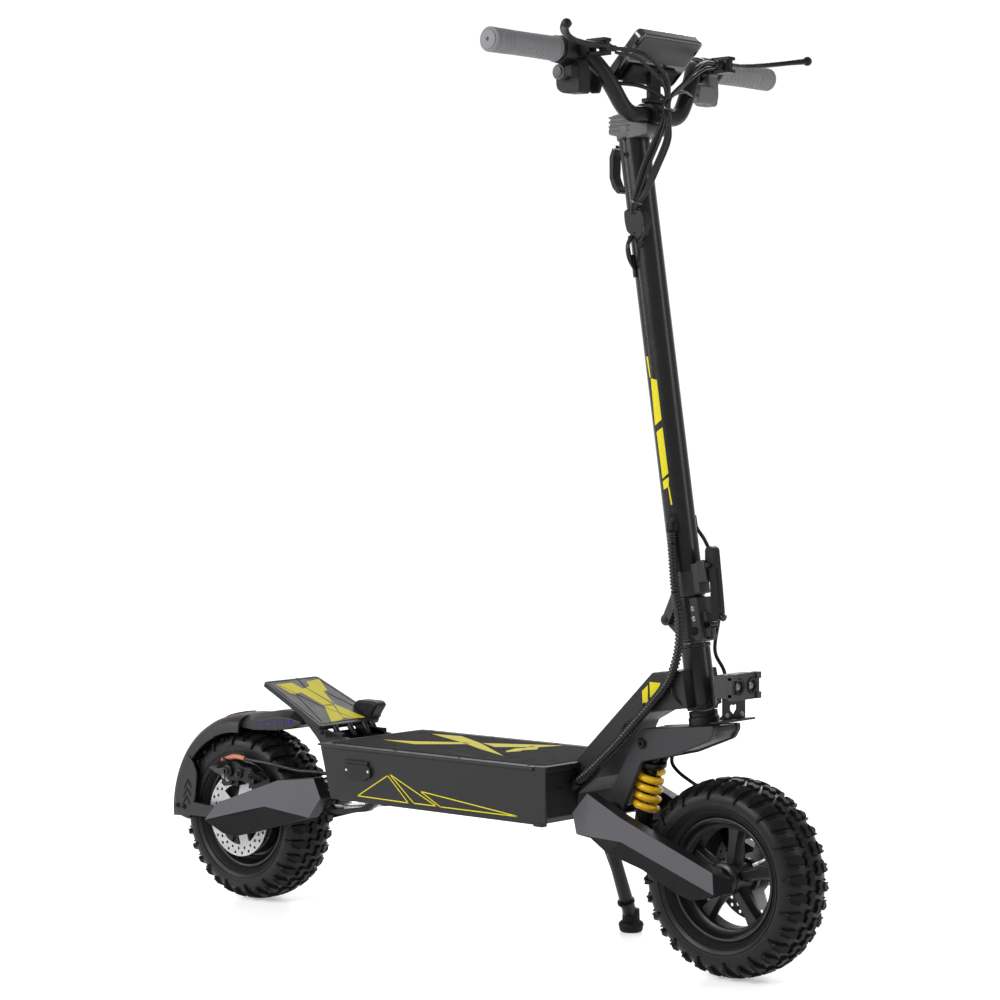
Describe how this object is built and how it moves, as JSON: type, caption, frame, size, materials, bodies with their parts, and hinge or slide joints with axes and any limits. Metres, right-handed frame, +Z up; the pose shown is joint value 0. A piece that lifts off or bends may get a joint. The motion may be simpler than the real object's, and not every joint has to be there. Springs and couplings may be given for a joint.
{
  "type": "electric kick scooter",
  "caption": "Folding electric kick scooter with off-road tyres, swing arm suspension, flat deck, raised rear foot rest, V handlebar, disc brakes, hub motor and kickstand.",
  "frame": {"origin": "on the ground, midway along and across the scooter", "axes": "+X forward, +Y to the rider's left, +Z up"},
  "size_m": [1.176, 0.586, 1.23],
  "materials": {
    "black_metal": "satin black powder coat",
    "grey_metal": "satin dark grey powder coat",
    "steel": "brushed",
    "alloy": "satin cast",
    "rubber": "matt",
    "black_plastic": "fine grain",
    "grip_rubber": "matt, grooved",
    "spring_yellow": "gloss",
    "lens": "clear",
    "tail_lens": "tinted",
    "copper_boot": "matt",
    "cell_blue": "wrapped cells"
  },
  "bodies": {
    "chassis": {"deck_shell": "black_metal", "deck_lid": "rubber", "battery_pack": "cell_blue", "motor_controller": "alloy", "neck": "black_metal", "head_tube": "black_metal", "rear_pivot_lug": "black_metal", "kick_plate": "black_metal", "kick_support": "black_metal", "kickstand_bracket": "black_metal", "conduit": "black_plastic"},
    "charge_cover": {"charge_cover": "black_plastic"},
    "kickstand": {"kickstand": "black_metal"},
    "steering": {"steerer": "steel", "fork_bracket": "black_metal", "front_shock_body": "steel", "headlight_bracket": "black_metal", "headlight_case": "black_plastic", "headlight_lens": "lens", "fold_base": "black_metal", "front_brake_cable": "black_plastic"},
    "front_arm": {"front_arm_right": "grey_metal", "front_arm_left": "grey_metal", "front_arm_tie": "black_metal", "front_axle": "steel", "front_calliper": "black_metal", "front_spring": "spring_yellow"},
    "front_wheel": {"front_rim": "black_metal", "front_tyre": "rubber", "front_brake_disc": "steel"},
    "rear_arm": {"rear_arm_right": "grey_metal", "rear_arm_left": "grey_metal", "rear_arm_tie": "black_metal", "rear_axle": "steel", "rear_shock": "steel", "rear_calliper": "black_metal", "rear_fender": "black_plastic", "tail_light": "tail_lens", "rear_brake_cable": "copper_boot"},
    "rear_wheel": {"rear_hub_motor": "black_metal", "rear_tyre": "rubber", "rear_brake_disc": "steel"},
    "stem": {"stem_tube": "black_metal", "cable_cover": "black_plastic", "handlebar": "black_metal", "handlebar_clamp": "alloy", "grip_left": "grip_rubber", "grip_right": "grip_rubber", "brake_clamp_left": "black_metal", "brake_clamp_right": "black_metal", "throttle_body": "black_plastic", "switch_box": "grip_rubber", "display_case": "black_plastic", "cable_bundle": "black_plastic"},
    "latch_lever": {"latch_lever": "grey_metal"},
    "fold_hook": {"fold_hook": "grey_metal"},
    "brake_lever_left": {"brake_lever_left": "black_metal"},
    "brake_lever_right": {"brake_lever_right": "black_metal"},
    "throttle_paddle": {"throttle_paddle": "black_plastic"},
    "power_button": {"power_button": "grip_rubber"}
  },
  "joints": [
    {"name": "steering_turn", "type": "hinge", "parent": "chassis", "child": "steering", "pos_m": [0.406, 0, 0.35], "axis": [-0.1478, 0, 0.989], "range_deg": [-36, 36], "deforming": ["conduit"]},
    {"name": "front_suspension", "type": "hinge", "parent": "steering", "child": "front_arm", "pos_m": [0.283, 0, 0.203], "axis": [0, -1, 0], "range_deg": [0, 8], "stiffness_Nm_per_rad": 260, "springref_deg": -17.19, "deforming": ["front_spring", "front_brake_cable"]},
    {"name": "front_wheel_spin", "type": "hinge", "parent": "front_arm", "child": "front_wheel", "pos_m": [0.458, 0, 0.13], "axis": [0, 1, 0], "continuous": true},
    {"name": "rear_suspension", "type": "hinge", "parent": "chassis", "child": "rear_arm", "pos_m": [-0.237, 0, 0.172], "axis": [0, 1, 0], "range_deg": [0, 8], "stiffness_Nm_per_rad": 320, "springref_deg": -17.19, "deforming": ["rear_shock", "rear_brake_cable"]},
    {"name": "rear_wheel_spin", "type": "hinge", "parent": "rear_arm", "child": "rear_wheel", "pos_m": [-0.438, 0, 0.13], "axis": [0, 1, 0], "continuous": true},
    {"name": "stem_fold", "type": "hinge", "parent": "steering", "child": "stem", "pos_m": [0.3575, 0, 0.46], "axis": [0, -1, 0], "range_deg": [0, 93]},
    {"name": "latch_open", "type": "hinge", "parent": "stem", "child": "latch_lever", "pos_m": [0.423, 0, 0.534], "axis": [0, -1, 0], "range_deg": [0, 45]},
    {"name": "hook_swing", "type": "hinge", "parent": "stem", "child": "fold_hook", "pos_m": [0.2695, 0, 1.084], "axis": [0, 1, 0], "range_deg": [0, 35]},
    {"name": "kickstand_fold", "type": "hinge", "parent": "chassis", "child": "kickstand", "pos_m": [0.179, 0.074, 0.164], "axis": [0, 1, 0], "range_deg": [0, 84]},
    {"name": "charge_cover_lift", "type": "hinge", "parent": "chassis", "child": "charge_cover", "pos_m": [-0.1195, -0.1105, 0.2435], "axis": [-1, 0, 0], "range_deg": [0, 100]},
    {"name": "brake_left_squeeze", "type": "hinge", "parent": "stem", "child": "brake_lever_left", "pos_m": [0.3515, 0.13, 1.1985], "axis": [0, 0, 1], "range_deg": [0, 13], "stiffness_Nm_per_rad": 2, "springref_deg": -8.59},
    {"name": "brake_right_squeeze", "type": "hinge", "parent": "stem", "child": "brake_lever_right", "pos_m": [0.3515, -0.13, 1.1985], "axis": [0, 0, -1], "range_deg": [0, 13], "stiffness_Nm_per_rad": 2, "springref_deg": -8.59},
    {"name": "throttle_press", "type": "hinge", "parent": "stem", "child": "throttle_paddle", "pos_m": [0.2995, -0.149, 1.197], "axis": [0, -1, 0], "range_deg": [0, 30], "stiffness_Nm_per_rad": 0.12, "springref_deg": -17.19},
    {"name": "power_press", "type": "slide", "parent": "stem", "child": "power_button", "axis": [0.7071, 0, -0.7071], "range_m": [0, 0.0018], "stiffness_N_per_m": 800, "springref_m": -0.001}
  ]
}
